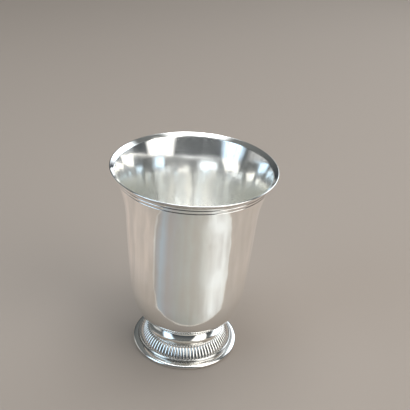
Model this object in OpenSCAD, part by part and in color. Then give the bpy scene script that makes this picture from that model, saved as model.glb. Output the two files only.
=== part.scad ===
// Footed silver beaker of tulip form.
// A bowl raised from one sheet stands on a foot that is built up of a hollow-curved collar,
// a ring of gadroons and a drawn base moulding, joined with silver solder.
// Millimetres, +Z up, origin on the table at the centre of the foot.

/* [Bowl] */
// Height of the whole beaker, from the table to the top of the lip
beaker_h = 105; // [98:0.5:115]
// Diameter over the lip
lip_d = 83.2; // [80:0.2:90]
// Thickness of the raised sheet
sheet = 0.8; // [0.6:0.05:1.2]
// Diameter where the straight wall rises from the rounded bottom
waist_d = 60.9; // [58:0.1:64]
// Lean of the straight wall from upright, in degrees
wall_lean = 4; // [2:0.1:5]
// Radius of the flare below the lip
flare_r = 68; // [50:1:80]
// Width of the turned-out lip, from its bend to its edge
lip_w = 2.1; // [1.2:0.1:3]
// Lean of the lip from upright, in degrees
lip_lean = 48; // [42:1:60]
// Radius of the bend under the lip
lip_bend_r = 1.5; // [0.8:0.1:2.5]
// Radius of the long curve at the lower end of the wall
side_r = 43; // [36:1:48]
// Lean where that long curve runs into the bottom corner, in degrees
corner_lean = 24.5; // [18:0.5:30]
// Radius of the bottom corner
corner_r = 10; // [7:0.5:12]
// Slope of the dished bottom where it leaves the corner, in degrees
dish_slope = 13; // [9:0.5:16]

/* [Incised lines] */
// Number of lines cut round the bowl under the lip
line_n = 2; // [0:1:4]
// Drop from the top of the lip to the first line
line_drop = 3.8; // [3.2:0.1:6]
// Distance from one line to the next
line_pitch = 2.2; // [1.2:0.1:3.5]
// Width of a line at the surface
line_w = 0.8; // [0.4:0.1:1]
// Depth of a line
line_depth = 0.3; // [0.1:0.05:0.4]

/* [Collar] */
// Diameter of the neck under the bowl
neck_d = 31.6; // [29.6:0.2:35]
// Height of the upright neck above the hollow curve
neck_h = 2.3; // [1.5:0.1:3.5]
// Diameter of the collar's lower edge
collar_d = 39.6; // [38:0.2:42]
// Height of the collar above the gadroons
collar_h = 7.9; // [6.5:0.1:10.5]
// Thickness of the collar's metal
collar_t = 0.9; // [0.7:0.1:1.2]
// Upright edge at the foot of the collar's curve
collar_edge = 0.4; // [0.3:0.1:1]
// Width of the dished flange under the bowl
flange_w = 4; // [2.5:0.1:6]

/* [Gadroon ring] */
// Number of gadroons round the foot
gadroon_n = 80; // [48:1:96]
// Diameter over the lower ends of the gadroons
gadroon_d = 48.8; // [47.4:0.2:50]
// Diameter over the tops of the gadroons, under the collar
gadroon_top_d = 40.8; // [39.6:0.2:42.6]
// Height of the gadroons above the base moulding
gadroon_h = 5.3; // [4.3:0.1:8.3]
// Depth of the grooves between gadroons
gadroon_relief = 0.6; // [0.2:0.05:0.8]
// Where the rounded section starts at the top, in degrees above level
ovolo_top = 58; // [48:1:70]
// Where the rounded section ends at the bottom, in degrees above level
ovolo_bottom = 21; // [10:1:35]
// Least thickness of the ring's metal behind the grooves
ring_t = 1.1; // [0.8:0.1:1.6]
// Height of the bore that takes the collar
ring_bore_h = 2.2; // [1.8:0.1:3]

/* [Base moulding] */
// Diameter over the base
base_d = 56.8; // [54.5:0.2:62]
// Height of the base moulding
base_h = 3.5; // [2.9:0.1:4.5]
// Height of the rounded bead above the table
bead_h = 2.3; // [1.6:0.1:2.5]
// Half height of the bead's rounded section
bead_half_h = 1.4; // [1.2:0.1:1.5]
// Half width of the bead's rounded section
bead_half_w = 2.5; // [1.2:0.1:3]
// Diameter of the flat fillet above the bead
fillet_d = 50.2; // [49.4:0.2:51]
// Bevel on the fillet's edge
fillet_edge = 0.25; // [0.1:0.05:0.4]
// Depth that the gadroon ring is sunk into the moulding
ring_sink = 0.4; // [0.2:0.1:1]

/* [Joints] */
// Clearance between two joined pieces
joint_gap = 0.05; // [0.02:0.01:0.15]
// Depth of the spigots that hold the pieces in line
spigot_h = 1.2; // [0.8:0.1:1.6]
// Thickness of the base moulding's spigot
spigot_t = 0.9; // [0.6:0.1:1.4]
// Leg of a solder fillet
solder_leg = 0.6; // [0.3:0.1:0.9]

/* [Hidden] */
$fn = 160;

silver = [0.86, 0.84, 0.80];
solder = [0.74, 0.71, 0.66];

// Points on each arc of an outline
fine_arc = 16;
short_arc = 8;

// Points across one gadroon, and bands down its rounded face
lobe_points = 4;
lobe_bands = 7;
// Share of a gadroon's length over which its groove deepens from the top
groove_run_in = 0.2;

// Levels, from the table up
ring_z = base_h - ring_sink;
ring_skirt_z = ring_z + spigot_h + solder_leg;
ring_top_z = base_h + gadroon_h;
neck_z = ring_top_z + collar_h;

// Rounded section of the gadroon ring, a stretch of an ellipse
ovolo_half_h = (ring_top_z - ring_z) / (sin(ovolo_top) - sin(ovolo_bottom));
ovolo_half_w = (gadroon_d - gadroon_top_d) / 2 / (cos(ovolo_bottom) - cos(ovolo_top));
ovolo_r = gadroon_d / 2 - ovolo_half_w * cos(ovolo_bottom);
ovolo_z = ring_z - ovolo_half_h * sin(ovolo_bottom);

// Radii of the foot
neck_r = neck_d / 2;
collar_r = collar_d / 2;
ring_foot_r = gadroon_d / 2;
ring_bore_r = gadroon_top_d / 2 - ring_t;
ring_skirt_r = ovolo_at(ring_skirt_z) - gadroon_relief - ring_t;
collar_spigot_r = ring_bore_r - joint_gap;
base_spigot_r = ring_skirt_r - joint_gap;
base_bore_r = base_spigot_r - spigot_t;

// Hollow curve of the collar, an arc that starts upright at the foot of the neck
cove_rise = collar_h - neck_h - collar_edge;
cove_sweep = 2 * atan((collar_r - neck_r) / cove_rise);
cove_r = cove_rise / sin(cove_sweep);
cove_centre = [neck_r + cove_r, neck_z - neck_h];

// Outline of the bowl's outside, from the dish up to the straight wall
waist_r = waist_d / 2;
corner_top_r = waist_r - side_r * (cos(wall_lean) - cos(corner_lean));
dish_edge_r = corner_top_r - corner_r * (cos(corner_lean) - sin(dish_slope));
dish_r = dish_edge_r / sin(dish_slope);
dish_centre = [0, neck_z + sqrt(pow(dish_r, 2) - pow(neck_r, 2))];
dish_edge_z = dish_centre.y - dish_r * cos(dish_slope);
corner_top_z = dish_edge_z + corner_r * (cos(dish_slope) - sin(corner_lean));
wall_z = corner_top_z + side_r * (sin(corner_lean) - sin(wall_lean));
corner_centre = [corner_top_r, corner_top_z] - corner_r * facing(corner_lean);
side_centre = [waist_r, wall_z] - side_r * facing(wall_lean);

// Lip: its rounded edge, then the bend that lies outside the wall
lip_edge = [lip_d / 2 - sheet / 2, beaker_h - sheet / 2];
lip_start = lip_edge - lip_w * along(lip_lean);
bend_centre = lip_start + (sheet / 2 + lip_bend_r) * facing(lip_lean);

// Flare: an arc that touches the straight wall below and the lip's bend above
wall_foot = [waist_r, wall_z];
bend_up = (bend_centre - wall_foot) * along(wall_lean);
bend_out = (bend_centre - wall_foot) * facing(wall_lean);
wall_length = bend_up - sqrt(pow(flare_r - lip_bend_r, 2) - pow(flare_r - bend_out, 2));
flare_centre = wall_foot + wall_length * along(wall_lean) + flare_r * facing(wall_lean);
flare_lean = atan2(bend_centre.y - flare_centre.y, flare_centre.x - bend_centre.x);

// Outward normal and upward tangent of a wall that leans out by an angle
function facing(lean) = [cos(lean), -sin(lean)];
function along(lean) = [sin(lean), cos(lean)];

// Arc of a wall that swells out, or hollows in, between two leans
function swell(centre, r, from, to, n) =
    [for (i = [0:n]) centre + r * facing(from + (to - from) * i / n)];
function hollow(centre, r, from, to, n) =
    [for (i = [0:n]) centre - r * facing(from + (to - from) * i / n)];

// One side of the bowl's sheet, from the axis up to the lip; inset is its depth inside the outer face
function bowl_side(inset) = concat(
    swell(dish_centre, dish_r - inset, 90, 90 - dish_slope, fine_arc),
    swell(corner_centre, corner_r - inset, 90 - dish_slope, corner_lean, short_arc),
    swell(side_centre, side_r - inset, corner_lean, wall_lean, fine_arc),
    hollow(flare_centre, flare_r + inset, wall_lean, flare_lean, fine_arc),
    hollow(bend_centre, lip_bend_r + inset, flare_lean, lip_lean, short_arc)
);

// Rounded edge of the lip, from its under side over to its upper side
function lip_round() = [
    for (i = [0:short_arc])
        let (turn = 180 * i / short_arc)
            lip_edge + sheet / 2 * (cos(turn) * facing(lip_lean) + sin(turn) * along(lip_lean))
];

// The same list from its last point to its first
function backwards(points) = [for (i = [len(points) - 1:-1:0]) points[i]];

// Height of the under side of the bowl's dish at a radius, with a clearance below it
function under_dish(r, gap) = dish_centre.y - sqrt(pow(dish_r + gap, 2) - pow(r, 2));

// Radius of the collar's neck and hollow curve at a drop below the top of the neck
function cove_at(drop) = cove_centre.x - sqrt(pow(cove_r, 2) - pow(max(0, drop - neck_h), 2));

// Radius over the gadroons at a height on their rounded section
function ovolo_at(z) = ovolo_r + ovolo_half_w * cos(asin((z - ovolo_z) / ovolo_half_h));

// Lean of the flare at a height
function flare_lean_at(z) = asin((z - flare_centre.y) / flare_r);

// Section of the bowl's sheet, half of it, with the incised lines still uncut
module bowl_section() {
    polygon(concat(bowl_side(0), lip_round(), backwards(bowl_side(sheet))));
}

// Section of one incised line on the flare, a notch that opens outward
module line_section(drop) {
    lean = flare_lean_at(beaker_h - drop);
    centre = flare_centre - flare_r * facing(lean);
    polygon([
        centre - line_depth * facing(lean),
        centre + line_depth * facing(lean) + line_w * along(lean),
        centre + line_depth * facing(lean) - line_w * along(lean)
    ]);
}

module bowl() {
    color(silver)
        rotate_extrude()
            difference() {
                bowl_section();
                for (i = [0:1:line_n - 1])
                    line_section(line_drop + i * line_pitch);
            }
}

// Collar: a dished flange under the bowl, a neck and a hollow curve outside, and a spigot into the gadroon ring
module foot_collar() {
    flange_r = neck_r - flange_w;
    spigot_in_r = collar_spigot_r - collar_t;
    spigot_z = ring_top_z - spigot_h;
    inner_r = cove_r + collar_t;
    throat_r = min(neck_r - collar_t, spigot_in_r);
    color(silver)
        rotate_extrude()
            polygon(concat(
                [for (i = [0:short_arc])
                    let (r = flange_r + flange_w * i / short_arc)
                        [r, under_dish(r, joint_gap)]],
                hollow_cove(cove_r, 0, cove_sweep),
                [[collar_r, ring_top_z], [collar_spigot_r, ring_top_z]],
                [[collar_spigot_r, spigot_z], [spigot_in_r, spigot_z]],
                spigot_in_r > throat_r
                    ? hollow_cove(inner_r, acos((cove_centre.x - spigot_in_r) / inner_r), 0)
                    : [],
                [for (i = [0:short_arc])
                    let (r = throat_r - (throat_r - flange_r) * i / short_arc)
                        [r, under_dish(r, joint_gap + collar_t)]]
            ));
}

// Arc about the collar's hollow, measured down from the foot of the neck
function hollow_cove(r, from, to) = [
    for (i = [0:short_arc])
        let (turn = from + (to - from) * i / short_arc)
            cove_centre - r * [cos(turn), sin(turn)]
];

// One ring of points on the gadroons' face, at an angle above level on the rounded section;
// the grooves run out level at the bottom, so that the ring's lower face is flat
function lobe_row(angle, depth) =
    let (
        outward = [cos(angle) / ovolo_half_w, (sin(angle) - sin(ovolo_bottom)) / ovolo_half_h],
        sink = outward / norm(outward),
        crest = [ovolo_r + ovolo_half_w * cos(angle), ovolo_z + ovolo_half_h * sin(angle)]
    )
    [
        for (i = [0:gadroon_n * lobe_points - 1])
            let (
                swelling = sin(180 * (i % lobe_points) / lobe_points),
                p = crest - depth * (1 - swelling) * sink,
                turn = 360 * i / (gadroon_n * lobe_points)
            )
            [p.x * cos(turn), p.x * sin(turn), p.y]
    ];

// One plain ring of points inside the gadroon ring
function plain_row(r, z) = [
    for (i = [0:gadroon_n * lobe_points - 1])
        let (turn = 360 * i / (gadroon_n * lobe_points))
            [r * cos(turn), r * sin(turn), z]
];

// Gadroon ring: lobes down a rounded shoulder, hollow behind, with a bore for the collar
module gadroon_ring() {
    count = gadroon_n * lobe_points;
    face_rows = [
        for (i = [0:lobe_bands])
            let (share = i / lobe_bands)
                lobe_row(ovolo_top - (ovolo_top - ovolo_bottom) * share,
                    gadroon_relief * sin(90 * min(1, share / groove_run_in)))
    ];
    back_rows = [
        plain_row(ring_skirt_r, ring_z),
        plain_row(ring_skirt_r, ring_skirt_z),
        plain_row(ring_bore_r, ring_top_z - ring_bore_h),
        plain_row(ring_bore_r, ring_top_z)
    ];
    rows = concat(face_rows, back_rows);
    points = [for (row = rows) for (p = row) p];
    faces = [
        for (i = [0:len(rows) - 1])
            for (j = [0:count - 1])
                let (
                    k = (i + 1) % len(rows),
                    a = i * count + j,
                    b = i * count + (j + 1) % count,
                    c = k * count + (j + 1) % count,
                    d = k * count + j
                )
                for (face = [[a, b, c], [a, c, d]]) face
    ];
    color(silver)
        polyhedron(points, faces);
}

// Section of the bead, down to the table and in to the axis
module bead_section(bead_z) {
    bead_r = base_d / 2 - bead_half_w;
    bead_foot = asin(-bead_z / bead_half_h);
    polygon(concat(
        [[0, 0]],
        [for (i = [0:fine_arc])
            let (turn = bead_foot + (90 - bead_foot) * i / fine_arc)
                [bead_r + bead_half_w * cos(turn), bead_z + bead_half_h * sin(turn)]],
        [[0, bead_h]]
    ));
}

// Section of the flat fillet, which stands in the bead and has a bevelled edge
module fillet_section(bead_z) {
    fillet_r = fillet_d / 2;
    polygon([
        [0, bead_z],
        [fillet_r, bead_z],
        [fillet_r, base_h - fillet_edge],
        [fillet_r - fillet_edge, base_h],
        [0, base_h]
    ]);
}

// Base moulding: a bead on the table, a flat fillet over it and a seat with a spigot for the gadroon ring
module base_moulding() {
    bead_z = bead_h - bead_half_h;
    spigot_z = ring_z + spigot_h;
    pocket_r = ring_foot_r + joint_gap;
    color(silver)
        rotate_extrude()
            difference() {
                union() {
                    bead_section(bead_z);
                    fillet_section(bead_z);
                    translate([0, bead_z])
                        square([base_spigot_r, spigot_z - bead_z]);
                }
                translate([base_spigot_r, ring_z])
                    square([pocket_r - base_spigot_r, ring_sink + spigot_h]);
                translate([0, -spigot_h])
                    square([base_bore_r, spigot_z + 2 * spigot_h]);
            }
}

// Solder in the corner between the bowl's under side and the collar's neck
module bowl_solder() {
    outer_r = neck_r + solder_leg;
    color(solder)
        rotate_extrude()
            polygon([
                [neck_r + joint_gap, under_dish(neck_r + joint_gap, joint_gap)],
                [cove_at(solder_leg) + joint_gap, neck_z - solder_leg],
                [neck_r + solder_leg / 2, neck_z - solder_leg / 2 + joint_gap],
                [outer_r, under_dish(outer_r, joint_gap)]
            ]);
}

// Solder inside the foot, under the end of the collar's spigot
module collar_solder() {
    z = ring_top_z - spigot_h;
    color(solder)
        rotate_extrude()
            polygon([
                [collar_spigot_r, z],
                [collar_spigot_r - solder_leg, z],
                [collar_spigot_r, z - solder_leg]
            ]);
}

// Solder inside the foot, on the end of the base moulding's spigot
module base_solder() {
    z = ring_z + spigot_h;
    color(solder)
        rotate_extrude()
            polygon([
                [base_spigot_r, z],
                [base_spigot_r - solder_leg, z],
                [base_spigot_r, z + solder_leg]
            ]);
}

bowl();
foot_collar();
gadroon_ring();
base_moulding();
bowl_solder();
collar_solder();
base_solder();
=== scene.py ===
"""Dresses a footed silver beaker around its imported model, and sets it on a studio floor.

The bowl, collar, base moulding and solder runs are turned meshes. The gadroons are carried round the
foot with Geometry Nodes. Lengths are metres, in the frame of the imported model.
"""

from math import acos, asin, atan, atan2, cos, pi, radians, sin, sqrt
from types import SimpleNamespace

import bmesh
import bpy
from mathutils import Matrix, Vector, noise


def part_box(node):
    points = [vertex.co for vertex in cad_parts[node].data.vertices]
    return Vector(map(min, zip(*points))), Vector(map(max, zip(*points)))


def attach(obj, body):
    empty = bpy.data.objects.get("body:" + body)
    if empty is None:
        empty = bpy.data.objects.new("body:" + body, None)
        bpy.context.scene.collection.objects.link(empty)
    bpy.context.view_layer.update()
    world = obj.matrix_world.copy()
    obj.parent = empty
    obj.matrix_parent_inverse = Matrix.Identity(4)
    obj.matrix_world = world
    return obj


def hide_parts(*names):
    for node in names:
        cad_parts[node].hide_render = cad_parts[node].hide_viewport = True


bl_info = {
    "name": "Footed silver beaker",
    "version": (1, 0, 0),
    "blender": (4, 5, 0),
    "location": "View3D > Sidebar > Beaker",
    "description": "Raises a silver beaker on a gadrooned foot and sets a plain studio round it",
    "category": "Object",
}

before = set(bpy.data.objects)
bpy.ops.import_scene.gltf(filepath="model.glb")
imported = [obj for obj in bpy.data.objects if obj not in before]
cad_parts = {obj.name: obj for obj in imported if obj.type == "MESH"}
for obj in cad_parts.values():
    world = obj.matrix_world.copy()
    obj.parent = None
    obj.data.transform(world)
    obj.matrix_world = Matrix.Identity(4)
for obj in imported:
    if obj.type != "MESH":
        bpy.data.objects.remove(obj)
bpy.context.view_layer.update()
BOWL_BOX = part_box("bowl")
RING_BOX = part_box("gadroon_ring")
BASE_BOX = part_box("base_moulding")

MM = 0.001
BODY = "root"

# Steps round a turned piece, and along a long or a short curve or a worn corner of its outline
TURNS = 256
LONG_CURVE = 28
SHORT_CURVE = 12
CORNER = 5
# Radius below which a point of an outline lies on the axis
ON_AXIS = 1e-7
# Edges that turn by more than this stay crisp
CRISP = radians(40)


def linear(code):
    """Linear colour with alpha of an sRGB hex value such as #C0FFEE."""
    shares = [int(code[i:i + 2], 16) / 255 for i in (1, 3, 5)]
    return tuple(s / 12.92 if s <= 0.04045 else ((s + 0.055) / 1.055) ** 2.4 for s in shares) + (1.0,)


def length(name, description, metres):
    """A length that a user can set."""
    return bpy.props.FloatProperty(
        name=name, description=description, default=metres, min=0.0, precision=5,
        subtype="DISTANCE", unit="LENGTH")


def angle(name, description, degrees):
    """An angle that a user can set."""
    return bpy.props.FloatProperty(
        name=name, description=description, default=radians(degrees),
        subtype="ANGLE", unit="ROTATION")


def colour(name, description, code):
    """A colour that a user can set, from its sRGB hex value."""
    return bpy.props.FloatVectorProperty(
        name=name, description=description, default=linear(code), size=4, min=0.0, max=1.0,
        subtype="COLOR")


class BEAKER_PG_bowl(bpy.types.PropertyGroup):
    """Sizes of the raised bowl."""

    beaker_h: length("Height", "From the table to the top of the lip", BOWL_BOX[1].z)
    lip_d: length("Lip diameter", "Across the lip", 2 * BOWL_BOX[1].x)
    sheet: length("Sheet", "Thickness of the raised sheet", 0.8 * MM)
    waist_d: length("Waist diameter", "Where the straight wall rises from the bottom", 60.9 * MM)
    wall_lean: angle("Wall lean", "Lean of the straight wall from upright", 4)
    flare_r: length("Flare radius", "Radius of the flare below the lip", 68 * MM)
    lip_w: length("Lip width", "From the lip's bend to its edge", 2.1 * MM)
    lip_lean: angle("Lip lean", "Lean of the turned-out lip from upright", 48)
    lip_bend_r: length("Lip bend", "Radius of the bend under the lip", 1.5 * MM)
    side_r: length("Side radius", "Long curve at the lower end of the wall", 43 * MM)
    corner_lean: angle("Corner lean", "Lean where the long curve meets the corner", 24.5)
    corner_r: length("Corner radius", "Radius of the bottom corner", 10 * MM)
    dish_slope: angle("Dish slope", "Slope of the dished bottom at the corner", 13)
    line_n: bpy.props.IntProperty(
        name="Lines", description="Lines incised round the bowl under the lip", default=2,
        min=0, max=4)
    line_drop: length("Line drop", "From the top of the lip to the first line", 3.8 * MM)
    line_pitch: length("Line pitch", "From one line to the next", 2.2 * MM)
    line_w: length("Line width", "Width of a line at the surface", 0.8 * MM)
    line_depth: length("Line depth", "Depth of a line", 0.3 * MM)
    planish: length("Planishing", "Height of the long waves that the hammer left", 0.10 * MM)
    planish_w: length("Planishing width", "Width of those waves round the bowl", 11 * MM)
    planish_h: length("Planishing height", "Height of those waves up the bowl", 26 * MM)


class BEAKER_PG_foot(bpy.types.PropertyGroup):
    """Sizes of the collar, the gadroon ring, the base moulding and the solder."""

    neck_d: length("Neck diameter", "Under the bowl", 31.6 * MM)
    neck_h: length("Neck height", "Upright neck above the hollow curve", 2.3 * MM)
    collar_d: length("Collar diameter", "Lower edge of the collar", 39.6 * MM)
    collar_h: length("Collar height", "Above the gadroons", 7.9 * MM)
    collar_t: length("Collar metal", "Thickness of the collar", 0.9 * MM)
    collar_edge: length("Collar edge", "Upright edge at the foot of the collar's curve", 0.4 * MM)
    flange_w: length("Flange width", "Dished flange under the bowl", 4 * MM)
    gadroon_n: bpy.props.IntProperty(
        name="Gadroons", description="Number of gadroons round the foot", default=80, min=12, max=120)
    gadroon_d: length("Gadroon diameter", "Over the lower ends of the gadroons", 48.8 * MM)
    gadroon_top_d: length("Gadroon top", "Diameter over the tops of the gadroons", 40.8 * MM)
    ring_z: length("Ring foot", "Height of the ring's lower face", RING_BOX[0].z)
    ring_top_z: length("Ring top", "Height of the ring's upper face", RING_BOX[1].z)
    relief: length("Relief", "Depth of the grooves between gadroons", 0.6 * MM)
    ovolo_top: angle("Ovolo top", "Where the rounded section starts, above level", 58)
    ovolo_bottom: angle("Ovolo bottom", "Where the rounded section ends, above level", 21)
    ring_t: length("Ring metal", "Least thickness behind the grooves", 1.1 * MM)
    ring_bore_h: length("Ring bore", "Height of the bore that takes the collar", 2.2 * MM)
    base_d: length("Base diameter", "Over the base", 2 * BASE_BOX[1].x)
    base_h: length("Base height", "Height of the base moulding", 3.5 * MM)
    bead_h: length("Bead height", "Height of the bead above the table", 2.3 * MM)
    bead_half_h: length("Bead half height", "Half height of the bead's section", 1.4 * MM)
    bead_half_w: length("Bead half width", "Half width of the bead's section", 2.5 * MM)
    fillet_d: length("Fillet diameter", "Flat fillet above the bead", 50.2 * MM)
    fillet_edge: length("Fillet bevel", "Bevel on the fillet's edge", 0.25 * MM)
    joint_gap: length("Joint gap", "Clearance between two joined pieces", 0.05 * MM)
    spigot_h: length("Spigot height", "Spigots that hold the pieces in line", 1.2 * MM)
    spigot_t: length("Spigot metal", "Thickness of the base moulding's spigot", 0.9 * MM)
    solder_leg: length("Solder leg", "Leg of a solder fillet", 0.6 * MM)
    soft_edge: length("Edge wear", "Rounding that wear and polish left on an edge", 0.12 * MM)


class BEAKER_PG_finish(bpy.types.PropertyGroup):
    """Colours of the metal."""

    silver: colour("Silver", "Clean polished silver", "#FCFCFA")
    bloom: colour("Bloom", "Faint warm bloom on handled silver", "#F6F3EC")
    tarnish: colour("Tarnish", "Dark sulphide left in the hollows", "#4A4038")
    solder: colour("Solder", "Silver solder, a little yellower than the sheet", "#D9D0BE")


class BEAKER_PG_stage(bpy.types.PropertyGroup):
    """Floor, room and camera."""

    floor: colour("Floor", "Matt studio paper", "#A99E94")
    walls: colour("Walls", "Light of the room from its dim walls", "#343A40")
    ceiling: colour("Ceiling", "Light of the room from straight above", "#7C7E7C")
    lens: bpy.props.FloatProperty(
        name="Lens", description="Focal length in millimetres on a 36 mm sensor", default=66.73,
        min=1.0)
    place: bpy.props.FloatVectorProperty(
        name="Camera", description="Place of the camera", default=(0.006383, -0.334945, 0.267227),
        subtype="TRANSLATION", unit="LENGTH", precision=6)
    pitch: angle("Pitch", "How far the camera looks down", 28.757)
    roll: angle("Roll", "Turn of the camera about its view", 3.908)


class BEAKER_PG_settings(bpy.types.PropertyGroup):
    """Everything that a user can set."""

    bowl: bpy.props.PointerProperty(type=BEAKER_PG_bowl)
    foot: bpy.props.PointerProperty(type=BEAKER_PG_foot)
    finish: bpy.props.PointerProperty(type=BEAKER_PG_finish)
    stage: bpy.props.PointerProperty(type=BEAKER_PG_stage)


def facing(lean):
    """Outward normal, in radius and height, of a wall that leans out by an angle."""
    return Vector((cos(lean), -sin(lean)))


def along(lean):
    """Upward tangent of that wall."""
    return Vector((sin(lean), cos(lean)))


def steps(start, end, count):
    """Even steps from start to end, both included."""
    return [start + (end - start) * i / count for i in range(count + 1)]


def point(place, recess=0.0):
    """A point of an outline: radius, height and how deep it lies in a recess, from 0 to 1."""
    return Vector((place[0], place[1], recess))


def fading(most, distance, reach):
    """A recess that is deepest where two surfaces meet, and fades out over a reach from there."""
    return most * max(0.0, 1 - distance / reach)


def bowl_curves(bowl, foot):
    """Centres and radii of the arcs that make up the bowl's outside."""
    c = SimpleNamespace()
    c.neck_z = foot.ring_top_z + foot.collar_h
    waist_r = bowl.waist_d / 2
    corner_r = waist_r - bowl.side_r * (cos(bowl.wall_lean) - cos(bowl.corner_lean))
    edge_r = corner_r - bowl.corner_r * (cos(bowl.corner_lean) - sin(bowl.dish_slope))
    c.dish_r = edge_r / sin(bowl.dish_slope)
    c.dish = Vector((0.0, c.neck_z + sqrt(c.dish_r ** 2 - (foot.neck_d / 2) ** 2)))
    edge_z = c.dish.y - c.dish_r * cos(bowl.dish_slope)
    corner_z = edge_z + bowl.corner_r * (cos(bowl.dish_slope) - sin(bowl.corner_lean))
    wall_z = corner_z + bowl.side_r * (sin(bowl.corner_lean) - sin(bowl.wall_lean))
    wall_foot = Vector((waist_r, wall_z))
    c.corner = Vector((corner_r, corner_z)) - bowl.corner_r * facing(bowl.corner_lean)
    c.side = wall_foot - bowl.side_r * facing(bowl.wall_lean)
    c.lip_edge = Vector((bowl.lip_d / 2 - bowl.sheet / 2, bowl.beaker_h - bowl.sheet / 2))
    lip_start = c.lip_edge - bowl.lip_w * along(bowl.lip_lean)
    c.bend = lip_start + (bowl.sheet / 2 + bowl.lip_bend_r) * facing(bowl.lip_lean)
    bend_up = (c.bend - wall_foot).dot(along(bowl.wall_lean))
    bend_out = (c.bend - wall_foot).dot(facing(bowl.wall_lean))
    reach = sqrt((bowl.flare_r - bowl.lip_bend_r) ** 2 - (bowl.flare_r - bend_out) ** 2)
    c.wall_foot = wall_foot
    c.wall_length = bend_up - reach
    c.flare = wall_foot + c.wall_length * along(bowl.wall_lean) + bowl.flare_r * facing(bowl.wall_lean)
    c.flare_lean = atan2(c.bend.y - c.flare.y, c.flare.x - c.bend.x)
    return c


def under_dish(curves, r, gap):
    """Height of the under side of the bowl's dish at a radius, with a clearance below it."""
    return curves.dish.y - sqrt((curves.dish_r + gap) ** 2 - r ** 2)


def flare_points(bowl, curves, inset, outside):
    """The flare from the wall up to the lip's bend, with the incised lines on the outside."""
    half_w = bowl.line_w / 2 / bowl.flare_r
    centres = []
    for i in range(bowl.line_n if outside else 0):
        height = bowl.beaker_h - bowl.line_drop - i * bowl.line_pitch
        centres.append(asin((height - curves.flare.y) / bowl.flare_r))
    leans = [x for x in steps(bowl.wall_lean, curves.flare_lean, LONG_CURVE)
             if all(abs(x - centre) > half_w for centre in centres)]
    for centre in centres:
        leans += steps(centre - half_w, centre + half_w, SHORT_CURVE)
    points = []
    for lean in sorted(leans):
        cut = max([0.0] + [1 - abs(lean - centre) / half_w for centre in centres])
        depth = bowl.line_depth * sin(cut * pi / 2)
        place = curves.flare - (bowl.flare_r + inset + depth) * facing(lean)
        # Tarnish fills a line out to near its edges
        points.append(point(place, min(1.0, 1.4 * cut)))
    return points


def bowl_side(bowl, curves, inset, outside):
    """One side of the sheet, from the axis up to the lip."""
    points = [point(curves.dish + (curves.dish_r - inset) * facing(lean))
              for lean in steps(pi / 2, pi / 2 - bowl.dish_slope, LONG_CURVE)]
    points[0].x = 0.0
    points += [point(curves.corner + (bowl.corner_r - inset) * facing(lean))
               for lean in steps(pi / 2 - bowl.dish_slope, bowl.corner_lean, LONG_CURVE)[1:]]
    points += [point(curves.side + (bowl.side_r - inset) * facing(lean))
               for lean in steps(bowl.corner_lean, bowl.wall_lean, LONG_CURVE)[1:]]
    wall = curves.wall_foot - inset * facing(bowl.wall_lean)
    points += [point(wall + rise * along(bowl.wall_lean))
               for rise in steps(0.0, curves.wall_length, LONG_CURVE)[1:-1]]
    points += flare_points(bowl, curves, inset, outside)
    # A little tarnish stays in the bend under the lip
    bend_recess = 0.35 if outside else 0.0
    points += [point(curves.bend - (bowl.lip_bend_r + inset) * facing(lean), bend_recess)
               for lean in steps(curves.flare_lean, bowl.lip_lean, SHORT_CURVE)[1:]]
    return points


def bowl_outline(bowl, foot):
    """Section of the bowl's sheet, and the number of the point where its inside starts."""
    curves = bowl_curves(bowl, foot)
    outside = bowl_side(bowl, curves, 0.0, True)
    # Tarnish in the corner beside the solder
    for p in outside:
        if p.y < bowl.beaker_h / 2:
            p.z = max(p.z, fading(0.6, abs(p.x - foot.neck_d / 2), 3 * foot.solder_leg))
    out, up = facing(bowl.lip_lean), along(bowl.lip_lean)
    lip = [point(curves.lip_edge + bowl.sheet / 2 * (cos(turn) * out + sin(turn) * up))
           for turn in steps(0.0, pi, 2 * SHORT_CURVE)]
    inside = bowl_side(bowl, curves, bowl.sheet, False)
    return outside + lip + inside[::-1], len(outside) + len(lip)


def cove_curve(foot):
    """The hollow curve of the collar: its sweep, its radius and its centre."""
    neck_r = foot.neck_d / 2
    rise = foot.collar_h - foot.neck_h - foot.collar_edge
    sweep = 2 * atan((foot.collar_d / 2 - neck_r) / rise)
    radius = rise / sin(sweep)
    return sweep, radius, Vector((neck_r + radius, foot.ring_top_z + foot.collar_edge + rise))


def ring_inside(foot):
    """Radii of the gadroon ring's bores for the collar and the base, and the top of the lower one."""
    half_h, half_w, centre = ovolo_curve(foot)
    skirt_z = foot.ring_z + foot.spigot_h + foot.solder_leg
    over = centre.x + half_w * cos(asin((skirt_z - centre.y) / half_h))
    return foot.gadroon_top_d / 2 - foot.ring_t, over - foot.relief - foot.ring_t, skirt_z


def spigot_radii(foot):
    """Outer radii of the collar's and the base moulding's spigots."""
    return [bore - foot.joint_gap for bore in ring_inside(foot)[:2]]


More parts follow.
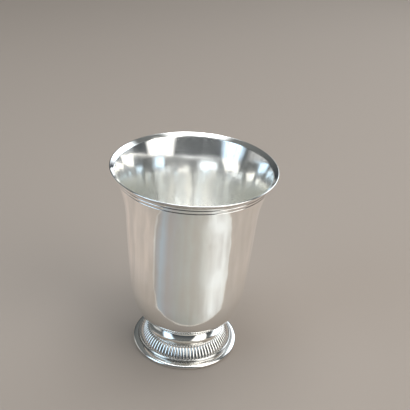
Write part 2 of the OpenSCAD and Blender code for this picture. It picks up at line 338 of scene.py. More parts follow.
def collar_outline(bowl, foot):
    """Section of the collar: flange, hollow curve, upright edge and spigot."""
    curves = bowl_curves(bowl, foot)
    sweep, cove_r, centre = cove_curve(foot)
    neck_r = foot.neck_d / 2
    flange_r = neck_r - foot.flange_w
    spigot_r = spigot_radii(foot)[0]
    bore_r = spigot_r - foot.collar_t
    spigot_z = foot.ring_top_z - foot.spigot_h
    inner_r = cove_r + foot.collar_t
    throat_r = min(neck_r - foot.collar_t, bore_r)
    points = [point((r, under_dish(curves, r, foot.joint_gap)), recess=0.6)
              for r in steps(flange_r, neck_r, SHORT_CURVE)]
    for turn in steps(0.0, sweep, LONG_CURVE):
        place = centre - cove_r * Vector((cos(turn), sin(turn)))
        points.append(point(place, fading(0.7, curves.neck_z - place.y, 2 * foot.solder_leg)))
    points += [
        point((foot.collar_d / 2, foot.ring_top_z), recess=0.2),
        point((spigot_r, foot.ring_top_z), recess=1.0),
        point((spigot_r, spigot_z), recess=1.0),
        point((bore_r, spigot_z), recess=0.6),
    ]
    if bore_r > throat_r:
        bore_turn = acos((centre.x - bore_r) / inner_r)
        for turn in steps(bore_turn, 0.0, LONG_CURVE)[1:]:
            place = centre - inner_r * Vector((cos(turn), sin(turn)))
            points.append(point(place, recess=0.4))
    points += [point((r, under_dish(curves, r, foot.joint_gap + foot.collar_t)), recess=0.5)
               for r in steps(throat_r, flange_r, SHORT_CURVE)]
    return soften(points, foot.soft_edge)


def ovolo_curve(foot):
    """The rounded section of the gadroon ring: half height, half width and centre."""
    top, bottom = foot.ovolo_top, foot.ovolo_bottom
    half_h = (foot.ring_top_z - foot.ring_z) / (sin(top) - sin(bottom))
    half_w = (foot.gadroon_d - foot.gadroon_top_d) / 2 / (cos(bottom) - cos(top))
    low = Vector((foot.gadroon_d / 2, foot.ring_z))
    return half_h, half_w, low - Vector((half_w * cos(bottom), half_h * sin(bottom)))


def base_outline(foot):
    """Section of the base moulding: bead, flat fillet, seat for the gadroon ring and spigot."""
    pocket_r = foot.gadroon_d / 2 + foot.joint_gap
    spigot_r = spigot_radii(foot)[1]
    bore_r = spigot_r - foot.spigot_t
    half_w, half_h = foot.bead_half_w, foot.bead_half_h
    bead_r = foot.base_d / 2 - half_w
    bead_z = foot.bead_h - half_h
    bead_foot = asin(-bead_z / half_h)
    fillet_r = foot.fillet_d / 2
    points = [point((bore_r, 0.0), recess=0.4)]
    points += [point((bead_r + half_w * cos(turn), bead_z + half_h * sin(turn)))
               for turn in steps(bead_foot, pi / 2, LONG_CURVE)]
    points += [
        point((fillet_r, foot.bead_h), recess=0.9),
        point((fillet_r, foot.base_h - foot.fillet_edge)),
        point((fillet_r - foot.fillet_edge, foot.base_h)),
        point((pocket_r, foot.base_h), recess=0.7),
        point((pocket_r, foot.ring_z), recess=1.0),
        point((spigot_r, foot.ring_z), recess=1.0),
        point((spigot_r, foot.ring_z + foot.spigot_h), recess=0.5),
        point((bore_r, foot.ring_z + foot.spigot_h), recess=0.5),
    ]
    return soften(points, foot.soft_edge)


def solder_outlines(bowl, foot):
    """Sections of the three solder runs, by the CAD node that each stands for."""
    curves = bowl_curves(bowl, foot)
    cove_r, centre = cove_curve(foot)[1:]
    collar_r, base_r = spigot_radii(foot)
    neck_r = foot.neck_d / 2
    leg, gap = foot.solder_leg, foot.joint_gap
    cove_at = centre.x - sqrt(cove_r ** 2 - max(0.0, leg - foot.neck_h) ** 2)
    # The face of a run is hollow: where it passes, from the corner of its joint
    hollow = 0.36 * leg
    low_face = Vector((hollow + gap, -0.52 * leg))
    high_face = Vector((0.62 * leg, -0.22 * leg))
    corner = Vector((neck_r, curves.neck_z))
    runs = {"bowl_solder": [
        point((neck_r + gap, under_dish(curves, neck_r + gap, gap)), recess=0.5),
        point((cove_at + gap, curves.neck_z - leg), recess=0.6),
        point(corner + low_face, recess=0.3),
        point(corner + high_face, recess=0.3),
        point((neck_r + leg, under_dish(curves, neck_r + leg, gap)), recess=0.6),
    ]}
    for node, r, z, up in (("collar_solder", collar_r, foot.ring_top_z - foot.spigot_h, -1),
                           ("base_solder", base_r, foot.ring_z + foot.spigot_h, 1)):
        runs[node] = [
            point((r, z), recess=0.5),
            point((r - leg, z), recess=0.6),
            point((r - hollow, z + up * hollow), recess=0.3),
            point((r, z + up * leg), recess=0.6),
        ]
    return runs


def soften(outline, reach, bend=radians(18), most=0.4):
    """The outline with each corner that bends by more than an angle rounded off.

    The rounding takes a reach of each side of the corner, and at the most a share of it.
    """
    softened = []
    count = len(outline)
    for i, corner in enumerate(outline):
        before, after = outline[i - 1] - corner, outline[(i + 1) % count] - corner
        flat_before, flat_after = Vector(before[:2]), Vector(after[:2])
        if pi - flat_before.angle(flat_after) < bend:
            softened.append(corner)
            continue
        start = corner + before * min(most, reach / flat_before.length)
        end = corner + after * min(most, reach / flat_after.length)
        for share in steps(0.0, 1.0, CORNER):
            rest = 1 - share
            softened.append(rest ** 2 * start + 2 * share * rest * corner + share ** 2 * end)
    return softened


def put(name, data):
    """A new object of the scene that shows a mesh, a lamp or a camera."""
    made = bpy.data.objects.new(name, data)
    bpy.context.scene.collection.objects.link(made)
    return made


def turned(name, outline, shift=None, inside_from=None):
    """A closed mesh turned from a section about the axis; shift gives how far each point is moved out.

    Faces after the outline's point inside_from take the piece's second material.
    """
    mesh = bpy.data.meshes.new(name)
    form = bmesh.new()
    recess = form.verts.layers.float.new("recess")
    rings = []
    for r, z, deep in outline:
        ring = []
        for k in range(1 if r < ON_AXIS else TURNS):
            turn = 2 * pi * k / TURNS
            out = r + shift(z, turn) if shift else r
            place = (out * cos(turn), out * sin(turn), z)
            vertex = form.verts.new((0.0, 0.0, z) if r < ON_AXIS else place)
            vertex[recess] = deep
            ring.append(vertex)
        rings.append(ring)
    for number, (low, high) in enumerate(zip(rings, rings[1:] + rings[:1])):
        if len(low) == len(high) == 1:
            continue
        for k in range(TURNS):
            n = (k + 1) % TURNS
            corners = [low[k % len(low)], low[n % len(low)], high[n % len(high)], high[k % len(high)]]
            face = form.faces.new(list(dict.fromkeys(corners)))
            face.smooth = True
            face.material_index = 1 if inside_from and number >= inside_from else 0
    bmesh.ops.recalc_face_normals(form, faces=form.faces)
    form.to_mesh(mesh)
    form.free()
    mesh.set_sharp_from_angle(angle=CRISP)
    return put(name, mesh)


def place_piece(piece, node, slot, *materials):
    """Gives a finished piece its metal, and lets it stand for its CAD node."""
    for material in materials:
        if material.name not in piece.data.materials:
            piece.data.materials.append(material)
    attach(piece, BODY)
    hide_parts(node)


def add(tree, kind, inputs=None, **settings):
    """Adds a node, sets it, and sets its inputs by name or number.

    An input that is given a socket is linked to it, and one that is given a node to its first output.
    """
    made = tree.nodes.new(kind)
    for name, value in settings.items():
        setattr(made, name, value)
    for name, value in (inputs or {}).items():
        if isinstance(value, bpy.types.Node):
            value = next(socket for socket in value.outputs if socket.enabled)
        if isinstance(value, bpy.types.NodeSocket):
            tree.links.new(value, made.inputs[name])
        else:
            made.inputs[name].default_value = value
    return made


def blank_material(name):
    """An empty node material, its tree and the place on a piece; no tree where it is already made."""
    made = bpy.data.materials.get(name)
    if made:
        return made, None, None
    made = bpy.data.materials.new(name)
    made.use_nodes = True
    tree = made.node_tree
    tree.nodes.clear()
    return made, tree, add(tree, "ShaderNodeTexCoord").outputs["Object"]


def clouded(tree, place, wide, high, detail):
    """Noise in clouds that are about so wide round a piece and so high."""
    scaled = add(tree, "ShaderNodeMapping",
                 {"Vector": place, "Scale": (1 / wide, 1 / wide, 1 / high)})
    return add(tree, "ShaderNodeTexNoise", {"Vector": scaled, "Scale": 1.0, "Detail": detail})


def bloomed(tree, place, finish, size, most):
    """Clean silver with bloom in clouds of about a size, at the most to a share."""
    clouds = clouded(tree, place, wide=size, high=size, detail=3.0)
    bloom = add(tree, "ShaderNodeMapRange",
                {"Value": clouds, "From Min": 0.35, "From Max": 0.75, "To Max": most})
    return add(tree, "ShaderNodeMix",
               {"Factor": bloom, "A": finish.silver, "B": finish.bloom}, data_type="RGBA")


def raised_silver(finish):
    """Silver raised with the hammer, planished and hand polished.

    To the eye it is a mirror with a slightly warm cast, faint cloudy wiping marks that soften the
    reflections unevenly, and fine rings left by the polishing. Dark sulphide stays in the hollows.
    """
    material, tree, place = blank_material("Raised silver, hand polished")
    if tree is None:
        return material
    deep = add(tree, "ShaderNodeAttribute", attribute_name="recess").outputs["Fac"]
    metal = bloomed(tree, place, finish, size=12 * MM, most=0.5)
    # Sulphide in the hollows, broken up in spots about 1.5 mm across
    spots = clouded(tree, place, wide=1.5 * MM, high=1.5 * MM, detail=2.0)
    ragged = add(tree, "ShaderNodeMapRange", {"Value": spots, "To Min": 0.4675, "To Max": 0.9775})
    dark = add(tree, "ShaderNodeMath", {0: deep, 1: ragged}, operation="MULTIPLY", use_clamp=True)
    tint = add(tree, "ShaderNodeMix",
               {"Factor": dark, "A": metal, "B": finish.tarnish}, data_type="RGBA")
    # Wiping marks: clouds that lie level round the piece
    smears = clouded(tree, place, wide=30.3 * MM, high=7.143 * MM, detail=4.0)
    rough = add(tree, "ShaderNodeMapRange",
                {"Value": smears, "From Min": 0.3, "From Max": 0.7, "To Min": 0.05, "To Max": 0.11})
    rough = add(tree, "ShaderNodeMath", {0: dark, 1: 0.3, 2: rough}, operation="MULTIPLY_ADD")
    # Polishing rings: real ones are some 0.02 mm apart, drawn at 0.5 mm so that they show
    rings = clouded(tree, place, wide=40 * MM, high=0.5 * MM, detail=2.0)
    relief = add(tree, "ShaderNodeBump", {"Height": rings, "Strength": 0.35, "Distance": 0.004 * MM})
    shader = add(tree, "ShaderNodeBsdfPrincipled",
                 {"Base Color": tint, "Metallic": 1.0, "Roughness": rough, "Normal": relief})
    add(tree, "ShaderNodeOutputMaterial", {"Surface": shader})
    return material


def burnished_silver(finish):
    """Silver burnished in rings inside the bowl.

    To the eye it is as bright as the outside, but the fine rings that the burnisher left smear every
    reflection up and down, so that lamps show as soft upright streaks.
    """
    material, tree, place = blank_material("Raised silver, burnished in rings")
    if tree is None:
        return material
    metal = bloomed(tree, place, finish, size=9 * MM, most=0.25)
    # Burnishing rings: real ones are some 0.05 mm apart, drawn at 0.6 mm so that they show
    rings = clouded(tree, place, wide=50 * MM, high=0.5882 * MM, detail=2.0)
    rough = add(tree, "ShaderNodeMapRange", {"Value": rings, "To Min": 0.05, "To Max": 0.13})
    # The mouth is burnished best, and from 12 mm below it the rings grow coarser down to 40 mm
    height = add(tree, "ShaderNodeSeparateXYZ", {0: place}).outputs["Z"]
    fine, coarse = BOWL_BOX[1].z - 12 * MM, BOWL_BOX[1].z - 40 * MM
    deep = add(tree, "ShaderNodeMapRange",
               {"Value": height, "From Min": fine, "From Max": coarse, "To Max": 0.04})
    # Scuffs about 0.2 mm across: too fine to tell apart, they lay a haze over the reflections
    scuffs = clouded(tree, place, wide=0.2 * MM, high=0.2 * MM, detail=1.0)
    scuffed = add(tree, "ShaderNodeMapRange",
                  {"Value": scuffs, "From Min": 0.60, "From Max": 0.64, "To Max": 0.40})
    for rougher in (deep, scuffed):
        rough = add(tree, "ShaderNodeMath", {0: rough, 1: rougher}, operation="ADD")
    relief = add(tree, "ShaderNodeBump", {"Height": rings, "Strength": 0.5, "Distance": 0.006 * MM})
    round_axis = add(tree, "ShaderNodeTangent", direction_type="RADIAL", axis="Z")
    shader = add(tree, "ShaderNodeBsdfPrincipled",
                 {"Base Color": metal, "Metallic": 1.0, "Roughness": rough,
                  "Anisotropic": 1.0, "Anisotropic Rotation": 0.25,
                  "Tangent": round_axis, "Normal": relief})
    add(tree, "ShaderNodeOutputMaterial", {"Surface": shader})
    return material


def silver_solder(finish):
    """Silver solder, flowed with a torch and pickled.

    To the eye it is greyer and yellower than the sheet, and satin rather than mirror bright, because
    its skin is finely pitted.
    """
    material, tree, place = blank_material("Silver solder, pickled")
    if tree is None:
        return material
    deep = add(tree, "ShaderNodeAttribute", attribute_name="recess").outputs["Fac"]
    # Pits about 0.5 mm across
    pits = clouded(tree, place, wide=0.5 * MM, high=0.5 * MM, detail=3.0)
    dark = add(tree, "ShaderNodeMath", {0: deep, 1: pits}, operation="MULTIPLY", use_clamp=True)
    tint = add(tree, "ShaderNodeMix", {"Factor": dark, "A": finish.solder, "B": finish.tarnish},
               data_type="RGBA")
    rough = add(tree, "ShaderNodeMapRange", {"Value": pits, "To Min": 0.18, "To Max": 0.42})
    relief = add(tree, "ShaderNodeBump", {"Height": pits, "Strength": 0.5, "Distance": 0.03 * MM})
    shader = add(tree, "ShaderNodeBsdfPrincipled",
                 {"Base Color": tint, "Metallic": 1.0, "Roughness": rough, "Normal": relief})
    add(tree, "ShaderNodeOutputMaterial", {"Surface": shader})
    return material


def studio_paper(shade):
    """Matt paper from a studio roll: an even pale surface with no shine and hardly any grain."""
    material, tree, place = blank_material("Studio paper, pale greige")
    if tree is None:
        return material
    # Paper fibre, about 1 mm
    fibre = clouded(tree, place, wide=MM, high=MM, detail=2.0)
    relief = add(tree, "ShaderNodeBump", {"Height": fibre, "Strength": 0.1, "Distance": 0.05 * MM})
    shader = add(tree, "ShaderNodeBsdfPrincipled",
                 {"Base Color": shade, "Roughness": 0.95, "Specular IOR Level": 0.1, "Normal": relief})
    add(tree, "ShaderNodeOutputMaterial", {"Surface": shader})
    return material


def lobe_mesh(foot):
    """One gadroon and the metal behind it, as a wedge of the ring that starts and ends in a groove."""
    half_h, half_w, centre = ovolo_curve(foot)
    bore_r, skirt_r, skirt_z = ring_inside(foot)
    # Steps across a lobe and down it
    columns, rows = 10, 40
    # Share of the length over which a lobe rounds up out of the ground at its top
    cap = 0.16
    # Share of its full round that a lobe goes through on each side, down to the groove
    roundness = 0.97
    # Share of a lobe's swell above which it is clean of tarnish
    clean = 1 / 1.2
    wedge = 2 * pi / foot.gadroon_n
    sheet = []
    for share in steps(0.0, 1.0, rows):
        turn = foot.ovolo_top - (foot.ovolo_top - foot.ovolo_bottom) * share
        crest = centre + Vector((half_w * cos(turn), half_h * sin(turn)))
        short = max(0.0, 1 - share / cap)
        # The ground is level with the collar's edge at the top and the base moulding at the bottom
        lift = (1 - short) * (sin(turn) - sin(foot.ovolo_bottom))
        sink = Vector((cos(turn) / half_w, lift / half_h)).normalized()
        row = []
        for across in steps(-1.0, 1.0, columns):
            swell = sqrt(max(0.0, 1 - roundness * across ** 2 - short ** 2))
            place = crest - foot.relief * (1 - swell) * sink
            row.append(point(place, fading(1 - short ** 2, swell, clean)))
        sheet.append(row)
    for place in ((skirt_r, foot.ring_z), (skirt_r, skirt_z),
                  (bore_r, foot.ring_top_z - foot.ring_bore_h), (bore_r, foot.ring_top_z)):
        sheet.append([point(place, recess=0.6)] * (columns + 1))
    mesh = bpy.data.meshes.new("gadroon_lobe")
    form = bmesh.new()
    recess = form.verts.layers.float.new("recess")
    grid = []
    for row in sheet:
        line = []
        for (r, z, deep), across in zip(row, steps(-0.5, 0.5, columns)):
            vertex = form.verts.new((r * cos(across * wedge), r * sin(across * wedge), z))
            vertex[recess] = deep
            line.append(vertex)
        grid.append(line)
    for upper, lower in zip(grid, grid[1:] + grid[:1]):
        for k in range(columns):
            form.faces.new([upper[k], lower[k], lower[k + 1], upper[k + 1]])
    form.to_mesh(mesh)
    form.free()
    return mesh


def gadroon_tree():
    """Node tree that carries one lobe round the foot and joins the lobes into one ring."""
    tree = bpy.data.node_groups.new("Gadroons round the foot", "GeometryNodeTree")
    sockets = {}
    for name, kind in (("Lobe", "NodeSocketGeometry"), ("Count", "NodeSocketInt"),
                       ("Weld", "NodeSocketFloat"), ("Crisp angle", "NodeSocketFloat"),
                       ("Unevenness", "NodeSocketFloat"), ("Unevenness size", "NodeSocketFloat"),
                       ("Metal", "NodeSocketMaterial")):
        sockets[name] = tree.interface.new_socket(name, in_out="INPUT", socket_type=kind).identifier
    tree.interface.new_socket("Gadroons", in_out="OUTPUT", socket_type="NodeSocketGeometry")
    given = add(tree, "NodeGroupInput").outputs
    marks = add(tree, "GeometryNodePoints", {"Count": given["Count"]})
    step = add(tree, "ShaderNodeMath", {0: 2 * pi, 1: given["Count"]}, operation="DIVIDE")
    number = add(tree, "GeometryNodeInputIndex")
    turn = add(tree, "ShaderNodeMath", {0: number, 1: step}, operation="MULTIPLY")
    about = add(tree, "ShaderNodeCombineXYZ", {"Z": turn})
    turned_by = add(tree, "FunctionNodeEulerToRotation", {0: about})
    lobes = add(tree, "GeometryNodeInstanceOnPoints",
                {"Points": marks, "Instance": given["Lobe"], "Rotation": turned_by})
    real = add(tree, "GeometryNodeRealizeInstances", {0: lobes})
    joined = add(tree, "GeometryNodeMergeByDistance", {"Geometry": real, "Distance": given["Weld"]})
    size = add(tree, "ShaderNodeMath", {0: 1.0, 1: given["Unevenness size"]}, operation="DIVIDE")
    wave = add(tree, "ShaderNodeTexNoise", {"Scale": size, "Detail": 1.0})
    level = add(tree, "ShaderNodeVectorMath", {0: wave.outputs["Color"], 1: (0.5, 0.5, 0.5)},
                operation="SUBTRACT")
    push = add(tree, "ShaderNodeVectorMath", {0: level, "Scale": given["Unevenness"]},
               operation="SCALE")
    uneven = add(tree, "GeometryNodeSetPosition", {"Geometry": joined, "Offset": push})
    edge = add(tree, "GeometryNodeInputMeshEdgeAngle")
    gentle = add(tree, "FunctionNodeCompare", {0: edge, 1: given["Crisp angle"]},
                 data_type="FLOAT", operation="LESS_THAN")
    faces = add(tree, "GeometryNodeSetShadeSmooth", {0: uneven, "Shade Smooth": True}, domain="FACE")
    smooth = add(tree, "GeometryNodeSetShadeSmooth", {0: faces, "Shade Smooth": gentle}, domain="EDGE")
    dressed = add(tree, "GeometryNodeSetMaterial", {"Geometry": smooth, "Material": given["Metal"]})
    add(tree, "NodeGroupOutput", {0: dressed})
    return tree, sockets


class BEAKER_OT_raise_bowl(bpy.types.Operator):
    """Raises the bowl, with its turned-out lip and the lines incised under it"""

    bl_idname = "beaker.raise_bowl"
    bl_label = "Raise bowl"

    def execute(self, context):
        settings = context.scene.beaker
        bowl = settings.bowl
        outline, inside_from = bowl_outline(bowl, settings.foot)
        calm_low, calm_high = bowl_curves(bowl, settings.foot).neck_z, bowl.beaker_h
        # Smaller waves between the long ones: width, share of their height, and shift from them
        small_w, small_share, aside = bowl.planish_w / 2.2, 0.4, Vector((7.0, 3.0, 5.0))
        # How fast the waves die out towards the foot and the lip, and the share left at the lip
        foot_fade, lip_fade, lip_share = 8, 5, 0.25

        def hammered(z, turn):
            """Long shallow waves that run up the wall and die out at the foot and the lip."""
            x, y = cos(turn) * bowl.waist_d / 2, sin(turn) * bowl.waist_d / 2
            wave = noise.noise(Vector((x / bowl.planish_w, y / bowl.planish_w, z / bowl.planish_h)))
            wave += small_share * noise.noise(Vector((x, y, z)) / small_w + aside)
            share = (z - calm_low) / (calm_high - calm_low)
            fade = max(0.0, min(1.0, foot_fade * share, lip_share + lip_fade * (1 - share)))
            return bowl.planish * wave * fade

        piece = turned("raised_bowl", outline, hammered, inside_from)
        place_piece(piece, "bowl", "silver",
                    raised_silver(settings.finish), burnished_silver(settings.finish))
        return {"FINISHED"}


class BEAKER_OT_turn_collar(bpy.types.Operator):
    """Turns the hollow-curved collar with its flange and spigot"""

    bl_idname = "beaker.turn_collar"
    bl_label = "Turn collar"

    def execute(self, context):
        settings = context.scene.beaker
        piece = turned("hollow_collar", collar_outline(settings.bowl, settings.foot))
        place_piece(piece, "foot_collar", "silver", raised_silver(settings.finish))
        return {"FINISHED"}


class BEAKER_OT_chase_gadroons(bpy.types.Operator):
    """Carries the gadroons round the foot as one ring"""

    bl_idname = "beaker.chase_gadroons"
    bl_label = "Chase gadroons"

    def execute(self, context):
        settings = context.scene.beaker
        tree, sockets = gadroon_tree()
        lobe = put("gadroon_lobe", lobe_mesh(settings.foot))
        modifier = lobe.modifiers.new("Gadroons", "NODES")
        modifier.node_group = tree
        modifier[sockets["Count"]] = settings.foot.gadroon_n
        modifier[sockets["Weld"]] = 0.005 * MM
        modifier[sockets["Crisp angle"]] = CRISP
        modifier[sockets["Unevenness"]] = 0.06 * MM
        modifier[sockets["Unevenness size"]] = 3 * MM
        modifier[sockets["Metal"]] = raised_silver(settings.finish)
        context.view_layer.update()
        graph = context.evaluated_depsgraph_get()
        mesh = bpy.data.meshes.new_from_object(
            lobe.evaluated_get(graph), preserve_all_data_layers=True, depsgraph=graph)
        lobe.modifiers.remove(modifier)
        bpy.data.objects.remove(lobe)
        mesh.name = "gadroon_band"
        piece = put("gadroon_band", mesh)
        place_piece(piece, "gadroon_ring", "silver", raised_silver(settings.finish))
        return {"FINISHED"}


class BEAKER_OT_draw_base(bpy.types.Operator):
    """Draws the base moulding that the foot stands on"""

    bl_idname = "beaker.draw_base"
    bl_label = "Draw base moulding"

    def execute(self, context):
        settings = context.scene.beaker
        piece = turned("moulded_base", base_outline(settings.foot))
        place_piece(piece, "base_moulding", "silver", raised_silver(settings.finish))
        return {"FINISHED"}


class BEAKER_OT_run_solder(bpy.types.Operator):
    """Runs silver solder into the three joints"""

    bl_idname = "beaker.run_solder"
    bl_label = "Run solder"

    def execute(self, context):
        settings = context.scene.beaker
        leg = settings.foot.solder_leg
        # The flow follows noise on a circle of this radius, and is uneven by this much
        circle, uneven = 9, 0.08 * leg

        def flowed(z, turn):
            """Uneven flow of the solder round its joint."""
            place = Vector((circle * cos(turn), circle * sin(turn), z / leg))
            return uneven * noise.noise(place)

        for node, outline in solder_outlines(settings.bowl, settings.foot).items():
            piece = turned(node + "_run", outline, flowed)
            place_piece(piece, node, "solder", silver_solder(settings.finish))
        return {"FINISHED"}


def lay_floor(half, material):
    """A square floor of a half width, with its middle under the beaker."""
    mesh = bpy.data.meshes.new("studio_floor")
    corners = [(-half, -half, 0.0), (half, -half, 0.0), (half, half, 0.0), (-half, half, 0.0)]
    mesh.from_pydata(corners, [], [(0, 1, 2, 3)])
    mesh.materials.append(material)
    put("studio_floor", mesh)


def panel_lamp(name, width, height, radiance, shade):
    """A rectangular lamp that the camera doesn't see."""
    lamp = bpy.data.lights.new(name, "AREA")
    lamp.shape = "RECTANGLE"
    lamp.size = width
    lamp.size_y = height
    lamp.energy = radiance * pi * width * height
    lamp.color = shade[:3]
    made = put(name, lamp)
    made.visible_camera = False
    return made


def lamp_nodes(made):
    """The emptied node tree of a lamp, and the shares of its width and height at a point of it."""
    made.data.use_nodes = True
    tree = made.data.node_tree
    tree.nodes.clear()
    place = add(tree, "ShaderNodeNewGeometry").outputs["Parametric"]
    share = add(tree, "ShaderNodeSeparateXYZ", {0: place})
    return tree, share.outputs["X"], share.outputs["Y"]


def streaks(tree, across, down, width, span, low, high):
    """Uneven stripes from a low to a high tone, of about a width across and a span down."""
    sideways = add(tree, "ShaderNodeMath", {0: across, 1: width}, operation="DIVIDE")
    lengthways = add(tree, "ShaderNodeMath", {0: down, 1: span}, operation="DIVIDE")
    place = add(tree, "ShaderNodeCombineXYZ", {"X": sideways, "Y": lengthways})
    waves = add(tree, "ShaderNodeTexNoise", {"Vector": place, "Scale": 1.0, "Detail": 2.0},
                noise_dimensions="2D")
    return add(tree, "ShaderNodeMapRange",
               {"Value": waves, "From Min": 0.3, "From Max": 0.7, "To Min": low, "To Max": high})


def softbox(name, azimuth, elevation, distance, size, radiance, shade, blur):
    """A lamp that faces the beaker; azimuth 0 is the camera's side and 90 the right.

    Its cloth hangs in folds, and it fades out towards its sides and its ends over two shares of its
    width and height.
    """
    made = panel_lamp(name, *size, radiance, linear(shade))
    turn, rise = radians(azimuth), radians(elevation)
    level = cos(rise)
    towards = Vector((level * sin(turn), -level * cos(turn), sin(rise)))
    aim = Vector((0.0, 0.0, BOWL_BOX[1].z / 2))
    made.location = aim + distance * towards
    made.rotation_euler = towards.to_track_quat("Z", "Y").to_euler()
    tree, across, up = lamp_nodes(made)
    cloth = streaks(tree, across, up, width=0.12, span=0.5, low=0.75, high=1.25)
    for share, faded in zip((across, up), blur):
        from_middle = add(tree, "ShaderNodeMath", {0: share, 1: 0.5}, operation="SUBTRACT")
        from_middle = add(tree, "ShaderNodeMath", {0: from_middle}, operation="ABSOLUTE")
        fade = add(tree, "ShaderNodeMapRange",
                   {"Value": from_middle, "From Min": 0.5, "From Max": 0.5 - faded},
                   interpolation_type="SMOOTHSTEP")
        cloth = add(tree, "ShaderNodeMath", {0: cloth, 1: fade}, operation="MULTIPLY")
    light = add(tree, "ShaderNodeEmission", {"Strength": cloth})
    add(tree, "ShaderNodeOutputLight", {"Surface": light})


def floor_glow(over_floor, width, behind, front, edge, slant, tones, border, border_tone,
               side_tone, side_from, side_to):
    """A lamp that lies just over the floor round the beaker and shines up.

    In front of a straight edge at a distance from the beaker's axis its light is graded by direction:
    tones are pairs of an angle in degrees, from straight in front and round to the right, and the
    light there. A border along the edge has a tone of its own. Elsewhere the light grows with distance
    from the axis, up to the side tone, and fades out again. It is twice as strong on the left as on
    the right.
    """
    made = panel_lamp("floor_glow", width, front + behind, 1.0, linear("#FFFFFF"))
    across = Vector((cos(slant), sin(slant), 0.0))
    towards = Vector((sin(slant), -cos(slant), 0.0))
    made.location = (front - behind) / 2 * towards + Vector((0.0, 0.0, over_floor))
    made.rotation_euler = Matrix((across, towards, Vector((0.0, 0.0, -1.0)))).transposed().to_euler()
    tree, share_across, share_near = lamp_nodes(made)
    right = add(tree, "ShaderNodeMapRange",
                {"Value": share_across, "To Min": -width / 2, "To Max": width / 2})
    near = add(tree, "ShaderNodeMapRange", {"Value": share_near, "To Min": -behind, "To Max": front})
    turn = add(tree, "ShaderNodeMath", {0: right, 1: near}, operation="ARCTAN2")
    place = add(tree, "ShaderNodeCombineXYZ", {"X": right, "Y": near})
    away = add(tree, "ShaderNodeVectorMath", {0: place}, operation="LENGTH").outputs["Value"]
    first, last = radians(tones[0][0]), radians(tones[-1][0])
    share = add(tree, "ShaderNodeMapRange", {"Value": turn, "From Min": first, "From Max": last})
    graded = add(tree, "ShaderNodeValToRGB", {0: share})
    marks = graded.color_ramp.elements
    for number, (degrees, tone) in enumerate(tones):
        mark = marks[number] if number < 2 else marks.new(1.0)
        mark.position = (radians(degrees) - first) / (last - first)
        mark.color = tone + (1.0,)
    bordering = add(tree, "ShaderNodeMath", {0: near, 1: edge + border}, operation="LESS_THAN")
    graded = add(tree, "ShaderNodeMix",
                 {"Factor": bordering, "A": graded, "B": border_tone}, data_type="RGBA")
    # Inside the two outer angles and past the edge the graded light takes over from the side light
    middle, half = (first + last) / 2, (last - first) / 2
    within = add(tree, "ShaderNodeMath", {0: turn, 1: middle, 2: half}, operation="COMPARE")
    past = add(tree, "ShaderNodeMath", {0: near, 1: edge}, operation="GREATER_THAN")
    ahead = add(tree, "ShaderNodeMath", {0: within, 1: past}, operation="MULTIPLY")
    spread = add(tree, "ShaderNodeMapRange",
                 {"Value": away, "From Min": side_from, "From Max": side_to},
                 interpolation_type="SMOOTHSTEP")
    leftward = add(tree, "ShaderNodeMapRange",
                   {"Value": right, "From Min": side_to, "From Max": -side_to, "To Min": 0.5})
    inward = add(tree, "ShaderNodeMapRange",
                 {"Value": away, "From Min": min(width / 2, behind), "From Max": 2 * side_to},
                 interpolation_type="SMOOTHSTEP")
    for fade in (leftward, inward):
        spread = add(tree, "ShaderNodeMath", {0: spread, 1: fade}, operation="MULTIPLY")
    side = add(tree, "ShaderNodeVectorMath", {0: side_tone, "Scale": spread}, operation="SCALE")
    tone = add(tree, "ShaderNodeMix", {"Factor": ahead, "A": side, "B": graded}, data_type="RGBA")
    uneven = streaks(tree, turn, away, width=radians(14), span=60 * MM, low=0.65, high=1.35)
    light = add(tree, "ShaderNodeEmission", {"Color": tone, "Strength": uneven})
    add(tree, "ShaderNodeOutputLight", {"Surface": light})


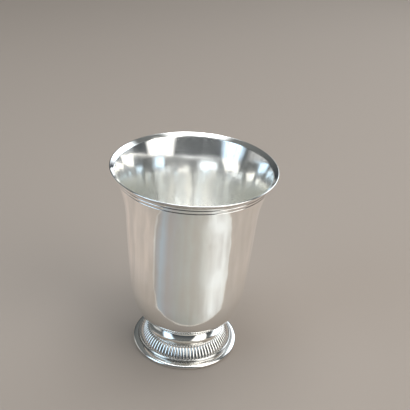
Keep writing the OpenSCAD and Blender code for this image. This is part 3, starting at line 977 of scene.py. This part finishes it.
class BEAKER_OT_set_stage(bpy.types.Operator):
    """Lays the floor, sets the lamps round the beaker and sets up the camera"""

    bl_idname = "beaker.set_stage"
    bl_label = "Set stage"

    def execute(self, context):
        scene = context.scene
        look = scene.beaker.stage
        lay_floor(half=4.0, material=studio_paper(look.floor))
        softbox("key_softbox", azimuth=138, elevation=28, distance=1.0,
                size=(1.40, 0.80), radiance=2.4, shade="#EEF5FC", blur=(0.35, 0.35))
        softbox("right_softbox", azimuth=58, elevation=32, distance=0.9,
                size=(0.85, 1.20), radiance=1.9, shade="#FFFDFA", blur=(0.25, 0.12))
        softbox("left_softbox", azimuth=-60, elevation=25, distance=0.9,
                size=(0.72, 0.92), radiance=2.0, shade="#C8E0F4", blur=(0.35, 0.15))
        softbox("far_left_softbox", azimuth=-108, elevation=12, distance=0.9,
                size=(1.00, 0.50), radiance=0.55, shade="#F2F1EE", blur=(0.35, 0.35))
        softbox("top_softbox", azimuth=180, elevation=86, distance=1.1,
                size=(1.20, 1.20), radiance=4.0, shade="#FAFCFF", blur=(0.35, 0.35))
        # On the floor in front of the beaker: dim and cool on the left, nearly white on the right
        floor_glow(
            over_floor=0.2 * MM, width=0.90, behind=0.45, front=0.45,
            edge=39.3 * MM, slant=radians(5.4),
            tones=((-64, (0.24, 0.26, 0.26)), (-62, (0.24, 0.26, 0.26)), (-60, (0.00, 0.01, 0.03)),
                   (-50, (0.01, 0.08, 0.14)), (-38, (0.00, 0.02, 0.05)), (-20, (0.00, 0.03, 0.04)),
                   (0, (0.03, 0.06, 0.06)), (15, (0.08, 0.11, 0.11)), (25, (0.19, 0.22, 0.22)),
                   (37, (0.35, 0.39, 0.40)), (50, (0.35, 0.39, 0.40)), (64, (0.26, 0.29, 0.29))),
            border=2 * MM, border_tone=(0.24, 0.24, 0.22, 1.0),
            side_tone=(0.15, 0.12, 0.105), side_from=50 * MM, side_to=105 * MM)

        world = bpy.data.worlds.new("Studio room")
        world.use_nodes = True
        tree = world.node_tree
        tree.nodes.clear()
        sight = add(tree, "ShaderNodeTexCoord").outputs["Generated"]
        towards = add(tree, "ShaderNodeSeparateXYZ", {0: sight})
        rise = add(tree, "ShaderNodeMapRange", {"Value": towards.outputs["Z"]})
        room = add(tree, "ShaderNodeMix", {"Factor": rise, "A": look.walls, "B": look.ceiling},
                   data_type="RGBA")
        light = add(tree, "ShaderNodeBackground", {"Color": room, "Strength": 1.0})
        add(tree, "ShaderNodeOutputWorld", {"Surface": light})
        scene.world = world

        lens = bpy.data.cameras.new("camera")
        lens.sensor_width = 36.0
        lens.lens = look.lens
        lens.clip_start = 0.01
        camera = put("camera", lens)
        camera.matrix_world = (
            Matrix.Translation(look.place)
            @ Matrix.Rotation(pi / 2 - look.pitch, 4, "X")
            @ Matrix.Rotation(look.roll, 4, "Z"))
        scene.camera = camera
        scene.view_settings.view_transform = "Standard"
        # Light goes round inside the bowl many times before it leaves
        scene.cycles.max_bounces = 32
        scene.cycles.glossy_bounces = 32
        return {"FINISHED"}


class BEAKER_PT_panel(bpy.types.Panel):
    """Lists the steps and the sizes"""

    bl_idname = "BEAKER_PT_panel"
    bl_label = "Silver beaker"
    bl_space_type = "VIEW_3D"
    bl_region_type = "UI"
    bl_category = "Beaker"

    def draw(self, context):
        settings = context.scene.beaker
        for step in STEPS:
            self.layout.operator(step.bl_idname)
        for group in (settings.bowl, settings.foot, settings.finish, settings.stage):
            box = self.layout.box()
            for name in group.__annotations__:
                box.prop(group, name)


STEPS = (
    BEAKER_OT_raise_bowl,
    BEAKER_OT_turn_collar,
    BEAKER_OT_chase_gadroons,
    BEAKER_OT_draw_base,
    BEAKER_OT_run_solder,
    BEAKER_OT_set_stage,
)
CLASSES = (
    BEAKER_PG_bowl,
    BEAKER_PG_foot,
    BEAKER_PG_finish,
    BEAKER_PG_stage,
    BEAKER_PG_settings,
) + STEPS + (BEAKER_PT_panel,)


def register():
    """Adds the classes and the settings to Blender."""
    for made in CLASSES:
        bpy.utils.register_class(made)
    bpy.types.Scene.beaker = bpy.props.PointerProperty(type=BEAKER_PG_settings)


def unregister():
    """Takes them out again."""
    del bpy.types.Scene.beaker
    for made in reversed(CLASSES):
        bpy.utils.unregister_class(made)


def main():
    """Builds every piece and the stage."""
    register()
    bpy.ops.beaker.raise_bowl()
    bpy.ops.beaker.turn_collar()
    bpy.ops.beaker.chase_gadroons()
    bpy.ops.beaker.draw_base()
    bpy.ops.beaker.run_solder()
    bpy.ops.beaker.set_stage()


if __name__ == "__main__":
    main()
